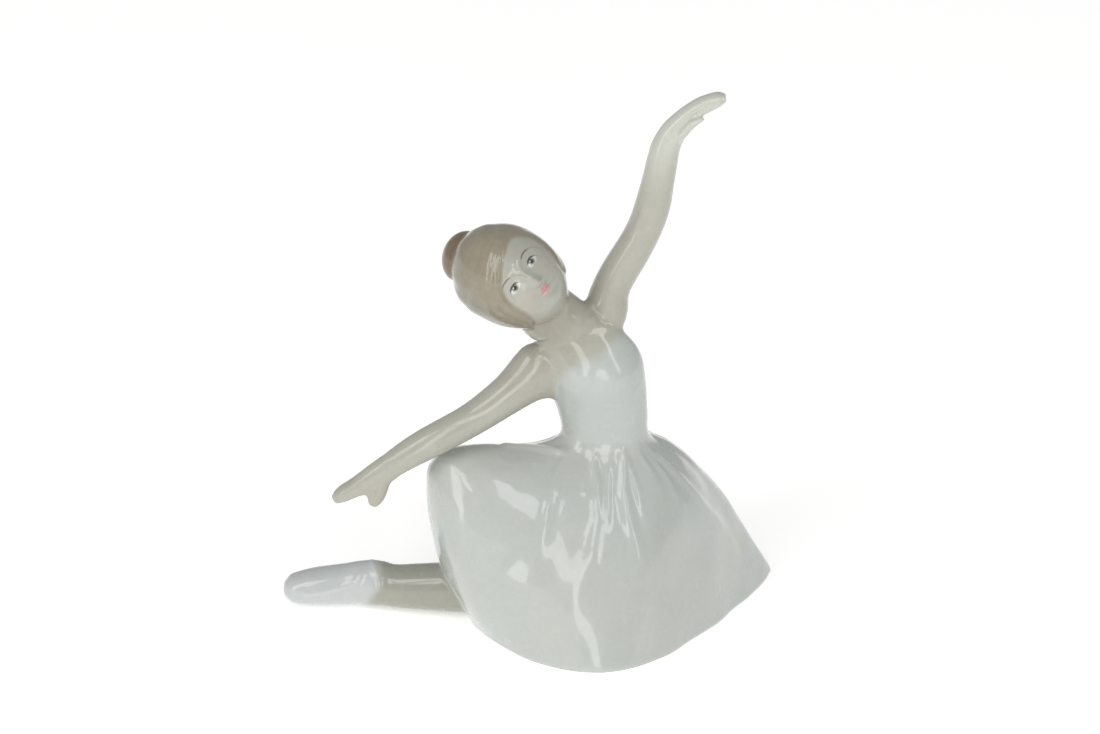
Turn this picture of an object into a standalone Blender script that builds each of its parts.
"""Kneeling dancer in glazed porcelain: an assembly of slip-cast pieces, luted together.

X runs to the viewer's right, -Y towards the viewer and Z up. The hem, the floor of the casting
and the leg stand on Z = 0. Sizes are in millimetres and become metres where a mesh is made.

The skirt, the bodice and the head are hollow castings that vent into each other through the
waist and the neck, and out through a hole in the floor. Arms, hands, leg, slipper and hair bun
are solid castings. Each one plugs into its neighbour with a peg, and a thin slip joint is left.
"""

import math

import bmesh
import bpy
import numpy as np
from mathutils import Matrix, Vector

MM = 0.001

# How the pieces fit
GAP = 0.3
SLIP_GAP = 0.45
WALL = 3.0
FLOOR_THICKNESS = 3.0
VENT_RADIUS = 6.0

# Waist seat, where the bodice stands on the skirt
WAIST = Vector((21.3, -1.0, 54.4))
WAIST_HALF_WIDTH = 12.2
WAIST_HALF_DEPTH = 9.0
SEAT_HOLE_SCALE = 0.62
WAIST_SPIGOT_LENGTH = 5.0

# Skirt outline: for each direction round the waist, in degrees from +X, the distance from the
# waist's axis and the height, from just below the waist down to the hem.
SKIRT_PROFILES = {
    -168: ((20, 53.4), (30, 54.2), (40, 54.6), (47.3, 53.2), (50.2, 48.5), (50.3, 40), (49.4, 30),
           (46.6, 18), (42, 8), (38.4, 0)),
    -154: ((19.5, 53), (30, 52.2), (39.5, 49.5), (45.5, 42), (47.5, 32), (45.5, 20), (41.5, 9),
           (37.3, 0)),
    -140: ((18, 51.8), (28, 48), (36, 41.5), (40.5, 31), (41.5, 20), (39.5, 9), (37, 0)),
    -120: ((15, 51), (23, 45.5), (31, 37.5), (36.5, 27), (38.8, 16), (39, 7), (38.7, 0)),
    -90: ((13, 50), (20, 43), (27.5, 33), (33, 21), (37, 9), (39.8, 0)),
    -62: ((14, 50), (20, 43.5), (26, 33.5), (30, 22), (32.8, 10), (34.5, 0)),
    -35: ((15, 50.5), (20, 44), (24, 35), (27, 24), (29.5, 11), (31.3, 0)),
    -15: ((15.3, 50.8), (20.5, 44.6), (25.2, 36), (28.8, 25), (31.5, 12), (33.5, 0)),
    4: ((15.8, 51), (21.5, 45.5), (26.7, 37.5), (31.2, 27.5), (35, 14.5), (38.3, 0)),
    18: ((16.4, 51.2), (22.8, 45.6), (28.3, 38.2), (33.6, 29), (39.8, 15.5), (46.8, 0)),
    31: ((17, 51.4), (23.8, 46.2), (29, 40.8), (34, 34.8), (39.2, 28), (45.8, 16.9),
         (51, 8), (56, 0)),
    45: ((16.8, 50.8), (24.3, 44.4), (30.8, 36.5), (37, 26.5), (43, 14.5), (50, 0)),
    60: ((16, 50.6), (23, 44.4), (30, 35.5), (36.3, 24.5), (41.5, 12), (46, 0)),
    90: ((14, 50.5), (21, 44), (28, 34.5), (34, 22.5), (38.5, 10), (41.8, 0)),
    120: ((15.5, 50), (23, 44), (30.5, 35), (36, 23.5), (39, 11), (40.5, 0)),
    150: ((19.4, 48.4), (30, 44.6), (38, 37), (41.5, 25), (40.3, 11), (38.3, 0)),
    170: ((19, 50.8), (29, 49.6), (38, 47.6), (45, 43.4), (48, 35), (47.8, 24), (45, 12.5),
          (41.5, 4.5), (39, 0)),
}
SKIRT_SIDES = 64
SKIRT_ROWS = 15
BELOW_HEM = 5.0

# Bodice: rings of (centre x, centre y, height, half width, half depth), waist upwards
BODICE_RINGS = (
    (21.3, -1.0, 54.7, 12.2, 9.0),
    (21.0, -1.0, 59.6, 12.3, 8.7),
    (20.2, -1.1, 64.3, 12.6, 8.8),
    (19.3, -1.4, 68.9, 13.2, 9.4),
    (18.8, -1.8, 73.5, 13.4, 9.9),
    (17.9, -1.5, 78.2, 13.4, 9.3),
    (15.3, -0.9, 82.8, 13.6, 8.2),
    (13.7, -0.8, 87.0, 12.0, 6.8),
    (13.2, -0.8, 89.8, 8.8, 4.8),
)
BODICE_SIDES = 32
BODICE_ROWS = 12

# Limbs: stations of (x, y, z, half height, half depth) along their middle line
NECK = (
    (16.6, 0.0, 81.5, 7.0, 6.0),
    (12.8, -0.8, 86.8, 8.4, 6.7),
    (7.5, -1.5, 92.6, 7.7, 6.5),
    (2.1, -2.4, 97.8, 7.0, 6.3),
    (-2.6, -4.0, 102.4, 5.6, 5.4),
)
NECK_JOINT = 0.40
RAISED_ARM = (
    (19.9, 1.0, 84.9, 4.6, 4.4),
    (21.5, 2.8, 91.7, 6.2, 5.6),
    (22.9, 3.5, 98.2, 5.5, 5.3),
    (25.8, 4.0, 104.1, 5.3, 5.2),
    (29.3, 4.0, 110.3, 5.2, 5.1),
    (32.6, 4.0, 117.3, 5.0, 4.9),
    (34.7, 4.0, 124.3, 5.0, 4.8),
    (35.9, 4.0, 130.8, 4.7, 4.5),
    (37.0, 4.0, 137.0, 4.4, 4.1),
    (38.0, 4.0, 141.5, 4.1, 3.6),
    (41.0, 4.0, 147.2, 3.8, 3.3),
    (45.6, 4.0, 152.2, 3.0, 3.1),
    (50.2, 4.0, 155.5, 2.4, 2.9),
    (53.6, 4.0, 156.8, 1.7, 2.2),
    (55.0, 4.0, 157.0, 0.7, 1.0),
)
RAISED_WRIST = 0.745
RAISED_THUMB = (
    (40.0, 1.8, 144.0, 1.3, 1.3),
    (43.4, 0.9, 146.9, 1.7, 1.6),
    (46.4, 0.6, 149.4, 1.5, 1.4),
    (48.6, 0.9, 151.4, 0.8, 0.8),
)
RESTING_ARM = (
    (9.8, -1.2, 79.6, 6.8, 5.0),
    (2.6, -3.2, 76.2, 7.5, 6.0),
    (-5.2, -6.2, 70.6, 5.9, 5.3),
    (-14.0, -9.0, 65.0, 4.9, 4.8),
    (-24.1, -12.5, 60.3, 4.7, 4.6),
    (-29.4, -14.0, 57.9, 4.5, 4.3),
    (-33.9, -15.0, 55.6, 4.2, 4.0),
    (-38.1, -16.0, 53.0, 3.9, 3.5),
    (-43.6, -16.6, 48.9, 3.9, 3.1),
    (-49.2, -17.0, 46.0, 2.7, 3.0),
    (-53.0, -17.0, 43.7, 2.2, 2.4),
    (-54.9, -17.0, 42.2, 1.1, 1.2),
)
RESTING_WRIST = 0.74
RESTING_THUMB = (
    (-40.6, -17.0, 50.2, 2.2, 2.0),
    (-42.0, -18.0, 46.0, 2.5, 2.1),
    (-43.2, -18.6, 43.2, 2.2, 1.9),
    (-43.9, -18.9, 41.3, 1.0, 1.0),
)
TRAILING_LEG = (
    (-12.0, -2.0, 8.4, 7.7, 7.7),
    (-18.8, -1.7, 7.9, 7.6, 7.6),
    (-24.9, -0.9, 7.4, 7.1, 7.1),
    (-32.0, 0.3, 6.9, 6.6, 6.6),
    (-38.8, 1.5, 6.5, 6.2, 6.1),
    (-43.4, 2.4, 6.9, 6.6, 6.0),
    (-47.4, 2.7, 6.8, 6.4, 6.1),
    (-51.5, 2.9, 6.3, 6.0, 6.2),
    (-55.7, 2.9, 6.0, 5.7, 6.3),
    (-60.2, 2.9, 5.7, 5.3, 6.1),
    (-64.3, 2.9, 5.2, 4.7, 5.4),
    (-67.4, 2.9, 4.9, 3.6, 4.2),
    (-69.0, 2.9, 4.8, 1.4, 1.8),
)
ANKLE = 0.49

# Head, in its own frame: face towards -Y, crown towards +Z
HEAD_CENTRE = Vector((-4.7, -5.0, 105.6))
HEAD_UP = Vector((-0.85, 0.19, 0.49))
HEAD_FACING = Vector((0.11, -0.85, 0.52))
HEAD_HALF = Vector((13.2, 15.0, 17.0))
JAW_NARROWING = 0.14
BUN_CENTRE = Vector((-1.2, 5.8, 14.4))
BUN_HALF = Vector((7.3, 7.3, 5.8))

# Pegs: radius and how far each reaches into its neighbour
ARM_PEG = (3.0, 6.5)
LEG_PEG = (4.0, 6.5)
WRIST_PEG = (1.7, 3.5)
ANKLE_PEG = (3.2, 4.5)
BUN_PEG = (2.2, 5.5)
NECK_SPIGOT = (4.4, 4.5)
NECK_BORE = 2.4
PEG_ROOT = 3.0
ARM_PEG_ROOT = 5.0
LEG_PEG_ROOT = 6.0
NECK_SPIGOT_ROOT = 4.0
PEG_SIDES = 16

# Neck seat, cut square to the neck so that the head's neck stands on the torso's
NECK_SEAT_RADIUS = 12.0
NECK_SEAT_DEPTH = 14.0
NECK_HOLE_DEPTH = 16.0
NECK_HOLE_LEAD = 2.0

# Waist: how far the spigot and its bore run up into the bodice, and the spigot's own wall
SPIGOT_RISE = 4.0
BORE_RISE = 8.0
SPIGOT_WALL = 2.0

# Where the limbs start and end and where their pegs stand, as fractions of their middle lines
LIMB_START = 0.03
LIMB_TIP = 0.995
THUMB_START = 0.02
THUMB_TIP = 0.98
NECK_START = 0.02
NECK_TIP = 0.98
RAISED_ARM_PEG_AT = 0.10
RESTING_ARM_PEG_AT = 0.12
LEG_PEG_AT = 0.17

# (sides, rings) of each round piece
NECK_MESH = (24, 7)
NECK_ROOT_MESH = (24, 6)
RAISED_ARM_MESH = (18, 20)
RESTING_ARM_MESH = (18, 18)
RAISED_HAND_MESH = (16, 14)
RESTING_HAND_MESH = (16, 12)
THUMB_MESH = (12, 7)
LEG_MESH = (24, 12)
SLIPPER_MESH = (24, 16)
HEAD_MESH = (28, 18)
HEAD_HOLLOW_MESH = (16, 10)
BUN_MESH = (22, 13)
WAIST_SIDES = 32
VENT_SIDES = 24
SPIGOT_SIDES = 20

# How far a cutter runs past the face it cuts, and how wide a wide one is
CUTTER_MARGIN = 5.0
CUTTER_DEPTH = 40.0
CUTTER_WIDTH = 200.0

# Fired colours: linear red, green and blue, then the roughness
WHITE_GLAZE = (0.60, 0.62, 0.59, 0.08)
SKIN_GLAZE = (0.49, 0.46, 0.38, 0.08)
LEG_GLAZE = (0.42, 0.39, 0.31, 0.08)
BUN_GLAZE = (0.30, 0.25, 0.18, 0.08)
BISCUIT = (0.70, 0.69, 0.65, 0.7)
SHARP_ANGLE = 40.0
HEADING_STEP = 0.01


def clear_scene():
    for obj in list(bpy.data.objects):
        bpy.data.objects.remove(obj, do_unlink=True)


def new_collection(name):
    collection = bpy.data.collections.new(name)
    bpy.context.scene.collection.children.link(collection)
    return collection


def glaze(name, look):
    """Fired and glazed porcelain in one colour; a high roughness is the bare biscuit."""
    *colour, roughness = look
    material = bpy.data.materials.new(name)
    material.use_nodes = True
    shader = material.node_tree.nodes["Principled BSDF"]
    shader.inputs["Base Color"].default_value = (*colour, 1.0)
    shader.inputs["Roughness"].default_value = roughness
    shader.inputs["Metallic"].default_value = 0.0
    return material


def smooth_through(knots, values, at):
    """Rows of `values` at the parameters `at`, on the smooth curve through them at `knots`."""
    knots = np.asarray(knots, float)
    values = np.asarray(values, float)
    at = np.asarray(at, float)
    steps = np.diff(knots)[:, None]
    slopes = np.diff(values, axis=0) / steps
    tangents = np.vstack([slopes[:1], slopes[:1].repeat(len(knots) - 2, axis=0), slopes[-1:]])
    tangents[1:-1] = (slopes[:-1] * steps[1:] + slopes[1:] * steps[:-1]) / (steps[1:] + steps[:-1])
    index = np.clip(np.searchsorted(knots, at, side="right") - 1, 0, len(steps) - 1)
    step = steps[index]
    u = (at - knots[index])[:, None] / step
    start = (1 + 2 * u) * (1 - u) ** 2 * values[index] + u * (1 - u) ** 2 * step * tangents[index]
    end = u * u * (3 - 2 * u) * values[index + 1] - u * u * (1 - u) * step * tangents[index + 1]
    return start + end


def along(stations, fractions):
    """Stations at the given fractions of the path's length."""
    stations = np.asarray(stations, float)
    lengths = np.linalg.norm(np.diff(stations[:, :3], axis=0), axis=1)
    knots = np.concatenate([[0.0], np.cumsum(lengths)])
    return smooth_through(knots, stations, np.asarray(fractions) * knots[-1])


def path_length(stations):
    points = np.asarray(stations, float)[:, :3]
    return float(np.linalg.norm(np.diff(points, axis=0), axis=1).sum())


def heading(stations, fraction):
    """The point and the unit direction of the path at a fraction of its length."""
    before, here, after = along(
        stations, [fraction - HEADING_STEP, fraction, fraction + HEADING_STEP])
    return Vector(here[:3]), Vector(after[:3] - before[:3]).normalized()


def place(obj, collection, material=None):
    collection.objects.link(obj)
    if material:
        obj.data.materials.append(material)
    if collection is cutters:
        obj.hide_render = True
        obj.display_type = "WIRE"
    return obj


def face_outwards(bm):
    bm.normal_update()
    bmesh.ops.recalc_face_normals(bm, faces=bm.faces)
    if bm.calc_volume(signed=True) < 0:
        bmesh.ops.reverse_faces(bm, faces=bm.faces)


def mesh_object(name, bm, collection, material=None):
    """The bmesh, given in millimetres, as an object with its normals out and shaded smooth."""
    bmesh.ops.scale(bm, vec=(MM, MM, MM), verts=bm.verts)
    face_outwards(bm)
    mesh = bpy.data.meshes.new(name)
    bm.to_mesh(mesh)
    bm.free()
    mesh.shade_smooth()
    mesh.set_sharp_from_angle(angle=math.radians(SHARP_ANGLE))
    return place(bpy.data.objects.new(name, mesh), collection, material)


def loft(rings, caps=True):
    """A bmesh through rings of equally many points."""
    bm = bmesh.new()
    rows = [[bm.verts.new(point) for point in ring] for ring in rings]
    for low, high in zip(rows, rows[1:]):
        for i in range(len(low)):
            j = (i + 1) % len(low)
            bm.faces.new((low[i], low[j], high[j], high[i]))
    if caps:
        bm.faces.new(rows[0][::-1])
        bm.faces.new(rows[-1])
    return bm


def limb_rings(stations, start, end, size, grow=0.0):
    """Elliptical rings square to the path, from one fraction of its length to another."""
    sides, count = size
    rings = []
    for fraction in np.linspace(start, end, count):
        middle, direction = heading(stations, fraction)
        half_height, half_depth = along(stations, [fraction])[0][3:] + grow
        depth = Vector((0, 1, 0)) - direction * direction.y
        depth.normalize()
        height = direction.cross(depth)
        turns = [2 * math.pi * i / sides for i in range(sides)]
        rings.append([
            middle + depth * half_depth * math.cos(turn) + height * half_height * math.sin(turn)
            for turn in turns
        ])
    return rings


def limb(name, stations, start, end, size, collection, material=None, grow=0.0):
    rings = limb_rings(stations, start, end, size, grow)
    return mesh_object(name, loft(rings), collection, material)


def apply_boolean(obj, other, operation, solver="EXACT"):
    modifier = obj.modifiers.new(f"{operation.lower()} {other.name}", "BOOLEAN")
    modifier.operation = operation
    modifier.solver = solver
    modifier.object = other


def cut(obj, *others, solver="EXACT"):
    for other in others:
        apply_boolean(obj, other, "DIFFERENCE", solver)


def fit_against(obj, *neighbours):
    """Cuts away what would run into a neighbour; the exact solver drops some of these cuts."""
    cut(obj, *neighbours, solver="MANIFOLD")


def join(obj, *others):
    for other in others:
        apply_boolean(obj, other, "UNION")


def peg(name, root, tip, radius, sides=PEG_SIDES):
    """A round bar between two points, as an operand of Booleans."""
    bm = bmesh.new()
    direction = tip - root
    bmesh.ops.create_cone(bm, cap_ends=True, segments=sides, radius1=radius, radius2=radius,
                          depth=direction.length)
    turn = Vector((0, 0, 1)).rotation_difference(direction.normalized()).to_matrix().to_4x4()
    bmesh.ops.transform(bm, matrix=Matrix.Translation((root + tip) / 2) @ turn, verts=bm.verts)
    return mesh_object(name, bm, cutters)


def peg_joint(holder, receiver, point, inward, size, root=PEG_ROOT):
    """Joins a peg to `holder` at `point` and cuts its socket from `receiver`."""
    radius, reach = size
    start = point - inward * root
    bar = peg(f"{holder.name}_peg", start, point + inward * reach, radius)
    hole = peg(f"{holder.name}_socket", start, point + inward * (reach + GAP), radius + GAP)
    cut(receiver, hole)
    join(holder, bar)


def ellipse_radius(angle, half_width, half_depth):
    return 1 / math.hypot(math.cos(angle) / half_width, math.sin(angle) / half_depth)


def skirt_rings():
    """Rings from the seat's hole, out to the waist and down past the hem, before the hem's cut."""
    rows = np.linspace(0, 1, SKIRT_ROWS)
    degrees = sorted(SKIRT_PROFILES)
    curves = []
    for degree in degrees:
        waist = ellipse_radius(math.radians(degree), WAIST_HALF_WIDTH, WAIST_HALF_DEPTH)
        points = np.array([(waist, WAIST.z), *SKIRT_PROFILES[degree]], float)
        last = points[-1] + (points[-1] - points[-2]) * BELOW_HEM / points[-2][1]
        points = np.vstack([points, last])
        lengths = np.linalg.norm(np.diff(points, axis=0), axis=1)
        knots = np.concatenate([[0.0], np.cumsum(lengths)])
        curves.append(smooth_through(knots, points, rows * knots[-1]).ravel())
    wrapped = [d - 360 for d in degrees[-3:]] + degrees + [d + 360 for d in degrees[:3]]
    values = curves[-3:] + curves + curves[:3]
    angles = np.arange(SKIRT_SIDES) * 360 / SKIRT_SIDES - 180
    grid = smooth_through(wrapped, values, angles).reshape(SKIRT_SIDES, SKIRT_ROWS, 2)
    rings = [[
        (WAIST.x + WAIST_HALF_WIDTH * SEAT_HOLE_SCALE * math.cos(math.radians(angle)),
         WAIST.y + WAIST_HALF_DEPTH * SEAT_HOLE_SCALE * math.sin(math.radians(angle)), WAIST.z)
        for angle in angles
    ]]
    for row in range(SKIRT_ROWS):
        rings.append([
            (WAIST.x + grid[i, row, 0] * math.cos(math.radians(angle)),
             WAIST.y + grid[i, row, 0] * math.sin(math.radians(angle)), grid[i, row, 1])
            for i, angle in enumerate(angles)
        ])
    return rings


def skirt_core(name, outward):
    """The skirt's outer surface moved out by `outward` (or in, if negative), as a solid."""
    bm = loft(skirt_rings())
    face_outwards(bm)
    bm.normal_update()
    moves = [(vert, vert.normal.copy()) for vert in bm.verts]
    for vert, normal in moves:
        vert.co += normal * outward
    return mesh_object(name, bm, cutters)


def slab(name, low, high):
    """A wide block between two heights, as an operand of Booleans."""
    bm = bmesh.new()
    bmesh.ops.create_cube(bm, size=1.0)
    bmesh.ops.scale(bm, vec=(CUTTER_WIDTH, CUTTER_WIDTH, high - low), verts=bm.verts)
    bmesh.ops.translate(bm, vec=(0, 0, (low + high) / 2), verts=bm.verts)
    return mesh_object(name, bm, cutters)


def oval_bar(name, low, high, scale, shrink):
    """An upright bar with the waist's outline, scaled and then shrunk."""
    turns = [2 * math.pi * i / WAIST_SIDES for i in range(WAIST_SIDES)]
    rings = [[
        (WAIST.x + (WAIST_HALF_WIDTH * scale - shrink) * math.cos(turn),
         WAIST.y + (WAIST_HALF_DEPTH * scale - shrink) * math.sin(turn), height)
        for turn in turns
    ] for height in (low, high)]
    return mesh_object(name, loft(rings), cutters)


def make_skirt():
    """A bell lifted over the bent knee, with a flat seat at the waist and a flat hem."""
    skirt = mesh_object("skirt", loft(skirt_rings(), caps=False), parts, white_glaze)
    shell = skirt.modifiers.new("wall", "SOLIDIFY")
    shell.thickness = WALL * MM
    shell.offset = -1.0
    cut(skirt, slab("below_hem", -CUTTER_DEPTH, 0.0), solver="MANIFOLD")
    return skirt


def make_floor():
    """The floor of the casting, set inside the hem, with its vent."""
    floor = slab("base_disc", 0.0, FLOOR_THICKNESS)
    cutters.objects.unlink(floor)
    place(floor, parts, biscuit)
    floor.hide_render = False
    floor.display_type = "TEXTURED"
    inside = skirt_core("hem_inside", -(WALL + SLIP_GAP))
    apply_boolean(floor, inside, "INTERSECT")
    under = Vector((WAIST.x, WAIST.y, -CUTTER_MARGIN))
    above = Vector((WAIST.x, WAIST.y, FLOOR_THICKNESS + CUTTER_MARGIN))
    cut(floor, peg("vent_hole", under, above, VENT_RADIUS, VENT_SIDES))
    return floor


def bodice_rings(grow):
    rings = []
    stations = along(BODICE_RINGS, np.linspace(0, 1, BODICE_ROWS))
    stations[-1, 2] += grow
    for x, y, z, half_width, half_depth in stations:
        rings.append([
            (x + (half_width + grow) * math.cos(2 * math.pi * i / BODICE_SIDES),
             y + (half_depth + grow) * math.sin(2 * math.pi * i / BODICE_SIDES), z)
            for i in range(BODICE_SIDES)
        ])
    return rings


def make_torso():
    """Bodice and shoulders with the root of the neck, hollow, and a spigot at the waist."""
    torso = mesh_object("torso", loft(bodice_rings(0.0)), parts, white_glaze)
    join(torso, limb("neck_root", NECK, NECK_START, NECK_JOINT, NECK_ROOT_MESH, cutters))
    point, direction = heading(NECK, NECK_JOINT)
    above = point + direction * NECK_SEAT_DEPTH
    cut(torso, peg("neck_seat", point, above, NECK_SEAT_RADIUS, NECK_MESH[0]))
    low = WAIST.z - WAIST_SPIGOT_LENGTH
    join(torso, oval_bar("waist_spigot", low, WAIST.z + SPIGOT_RISE, SEAT_HOLE_SCALE, GAP))
    hollow = bodice_rings(-WALL)[1:-2]
    cut(torso, mesh_object("torso_hollow", loft(hollow), cutters))
    high = WAIST.z + BORE_RISE
    inside = GAP + SPIGOT_WALL
    cut(torso, oval_bar("waist_bore", low - CUTTER_MARGIN, high, SEAT_HOLE_SCALE, inside))
    down = point - direction * NECK_HOLE_DEPTH
    out = point + direction * NECK_HOLE_LEAD
    cut(torso, peg("neck_hole", down, out, NECK_SPIGOT[0] + GAP, SPIGOT_SIDES))
    return torso


def head_frame():
    up = HEAD_UP.normalized()
    facing = (HEAD_FACING - up * HEAD_FACING.dot(up)).normalized()
    side = up.cross(facing)
    turn = Matrix((side, -facing, up)).transposed().to_4x4()
    empty = bpy.data.objects.new("head_frame", None)
    empty.matrix_world = Matrix.Translation(HEAD_CENTRE * MM) @ turn
    parts.objects.link(empty)
    return empty


def egg(name, half, collection, material, size, narrowing=0.0):
    """An egg with its point down, or an ellipsoid where `narrowing` is 0."""
    sides, rows = size
    bm = bmesh.new()
    bmesh.ops.create_uvsphere(bm, u_segments=sides, v_segments=rows, radius=1.0)
    for vert in bm.verts:
        low = max(0.0, -vert.co.z)
        vert.co.x *= 1 - narrowing * low * low
        vert.co.y *= 1 - narrowing * low * low
    bmesh.ops.scale(bm, vec=half, verts=bm.verts)
    return mesh_object(name, bm, collection, material)


def under_frame(frame, *objects):
    for obj in objects:
        obj.parent = frame


def make_head(frame):
    """Head and neck, hollow, with a spigot that enters the torso."""
    head = egg("head", HEAD_HALF, parts, skin_glaze, HEAD_MESH, JAW_NARROWING)
    inner = HEAD_HALF - Vector((WALL, WALL, WALL))
    hollow = egg("head_hollow", inner, cutters, None, HEAD_HOLLOW_MESH, JAW_NARROWING)
    under_frame(frame, head, hollow)
    point, direction = heading(NECK, NECK_JOINT)
    above = NECK_JOINT + GAP / path_length(NECK)
    join(head, limb("neck", NECK, above, NECK_TIP, NECK_MESH, cutters))
    radius, reach = NECK_SPIGOT
    low = point - direction * reach
    high = point + direction * NECK_SPIGOT_ROOT
    join(head, peg("neck_spigot", low, high, radius, SPIGOT_SIDES))
    cut(head, hollow)
    cut(head, peg("neck_bore", low - direction, HEAD_CENTRE, NECK_BORE))
    return head


def make_bun(frame, head):
    bun = egg("hair_bun", BUN_HALF, parts, bun_glaze, BUN_MESH)
    out = BUN_CENTRE.normalized()
    turn = Vector((0, 0, 1)).rotation_difference(out).to_matrix().to_4x4()
    bun.matrix_world = Matrix.Translation(BUN_CENTRE * MM) @ turn
    grown = HEAD_HALF + Vector((SLIP_GAP, SLIP_GAP, SLIP_GAP))
    clearance = egg("head_clearance", grown, cutters, None, HEAD_MESH, JAW_NARROWING)
    under_frame(frame, bun, clearance)
    fit_against(bun, clearance)
    outward = (frame.matrix_world.to_3x3() @ out).normalized()
    middle = frame.matrix_world @ (BUN_CENTRE * MM) / MM
    peg_joint(bun, head, middle, -outward, BUN_PEG)
    return bun


def make_hand(name, stations, wrist, thumb, arm, size):
    """Hand with its fingers together and the thumb apart, pegged into the wrist."""
    point, direction = heading(stations, wrist)
    start = wrist + GAP / path_length(stations)
    hand = limb(name, stations, start, LIMB_TIP, size, parts, skin_glaze)
    join(hand, limb(f"{name}_thumb", thumb, THUMB_START, THUMB_TIP, THUMB_MESH, cutters))
    peg_joint(hand, arm, point, -direction, WRIST_PEG)
    return hand


def make_raised_arm(torso, clearances):
    arm = limb("raised_arm", RAISED_ARM, LIMB_START, RAISED_WRIST, RAISED_ARM_MESH, parts, skin_glaze)
    fit_against(arm, *clearances)
    point, direction = heading(RAISED_ARM, RAISED_ARM_PEG_AT)
    peg_joint(arm, torso, point, -direction, ARM_PEG, ARM_PEG_ROOT)
    make_hand("raised_hand", RAISED_ARM, RAISED_WRIST, RAISED_THUMB, arm, RAISED_HAND_MESH)


def make_resting_arm(torso, clearances):
    arm = limb("resting_arm", RESTING_ARM, LIMB_START, RESTING_WRIST, RESTING_ARM_MESH, parts,
               skin_glaze)
    fit_against(arm, *clearances)
    point, direction = heading(RESTING_ARM, RESTING_ARM_PEG_AT)
    peg_joint(arm, torso, point, -direction, ARM_PEG, ARM_PEG_ROOT)
    make_hand("resting_hand", RESTING_ARM, RESTING_WRIST, RESTING_THUMB, arm, RESTING_HAND_MESH)


def make_leg(skirt, clearance):
    """Lower leg luted to the outside of the skirt, with the slipper pegged to its ankle."""
    leg = limb("trailing_leg", TRAILING_LEG, LIMB_START, ANKLE, LEG_MESH, parts, leg_glaze)
    fit_against(leg, clearance)
    point, direction = heading(TRAILING_LEG, LEG_PEG_AT)
    peg_joint(leg, skirt, point, -direction, LEG_PEG, LEG_PEG_ROOT)
    start = ANKLE + GAP / path_length(TRAILING_LEG)
    slipper = limb("slipper", TRAILING_LEG, start, LIMB_TIP, SLIPPER_MESH, parts, white_glaze)
    ankle, along_foot = heading(TRAILING_LEG, ANKLE)
    peg_joint(slipper, leg, ankle, -along_foot, ANKLE_PEG)


clear_scene()
parts = new_collection("porcelain_figurine")
cutters = new_collection("cutters")
white_glaze = glaze("white_glaze", WHITE_GLAZE)
skin_glaze = glaze("skin_glaze", SKIN_GLAZE)
leg_glaze = glaze("leg_glaze", LEG_GLAZE)
bun_glaze = glaze("bun_glaze", BUN_GLAZE)
biscuit = glaze("biscuit", BISCUIT)

skirt = make_skirt()
make_floor()
torso = make_torso()
frame = head_frame()
bpy.context.view_layer.update()
head = make_head(frame)
make_bun(frame, head)
body_clearance = mesh_object("torso_clearance", loft(bodice_rings(SLIP_GAP)), cutters)
neck_clearance = limb("neck_root_clearance", NECK, NECK_START, NECK_JOINT, NECK_ROOT_MESH, cutters,
                      grow=SLIP_GAP)
skirt_clearance = skirt_core("skirt_clearance", SLIP_GAP)
make_raised_arm(torso, (body_clearance, neck_clearance))
make_resting_arm(torso, (body_clearance, neck_clearance, skirt_clearance))
make_leg(skirt, skirt_clearance)
